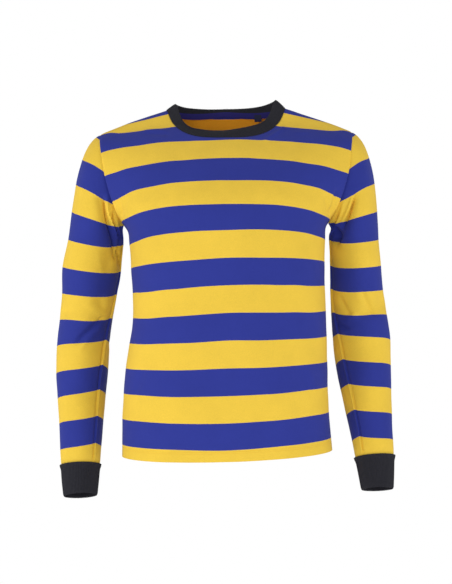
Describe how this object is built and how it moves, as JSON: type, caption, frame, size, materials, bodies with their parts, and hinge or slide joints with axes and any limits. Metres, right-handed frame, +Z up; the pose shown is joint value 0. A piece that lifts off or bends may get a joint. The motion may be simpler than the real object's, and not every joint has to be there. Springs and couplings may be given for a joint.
{
  "type": "long-sleeved t-shirt",
  "caption": "Long-sleeved crew-neck jersey t-shirt in wide horizontal stripes, with dark rib neckband and cuffs, hollow and open at neck, hem and wrists, in its worn form.",
  "frame": {"origin": "middle of the neck opening, about level with the high shoulder points, where the wearer's shoulders hold the garment", "axes": "+X to the wearer's left, +Y to the wearer's back, +Z up"},
  "size_m": [0.6384, 0.256, 0.7609],
  "materials": {
    "striped_jersey": "matte cotton jersey in yellow and royal blue stripes",
    "charcoal_rib": "matte rib knit",
    "woven_label": "smooth woven tape"
  },
  "bodies": {
    "root": {"front_panel": "striped_jersey", "back_panel": "striped_jersey", "sleeve_right": "striped_jersey", "sleeve_left": "striped_jersey", "cuff_right": "charcoal_rib", "cuff_left": "charcoal_rib", "neckband": "charcoal_rib", "neck_label": "woven_label"}
  },
  "joints": []
}
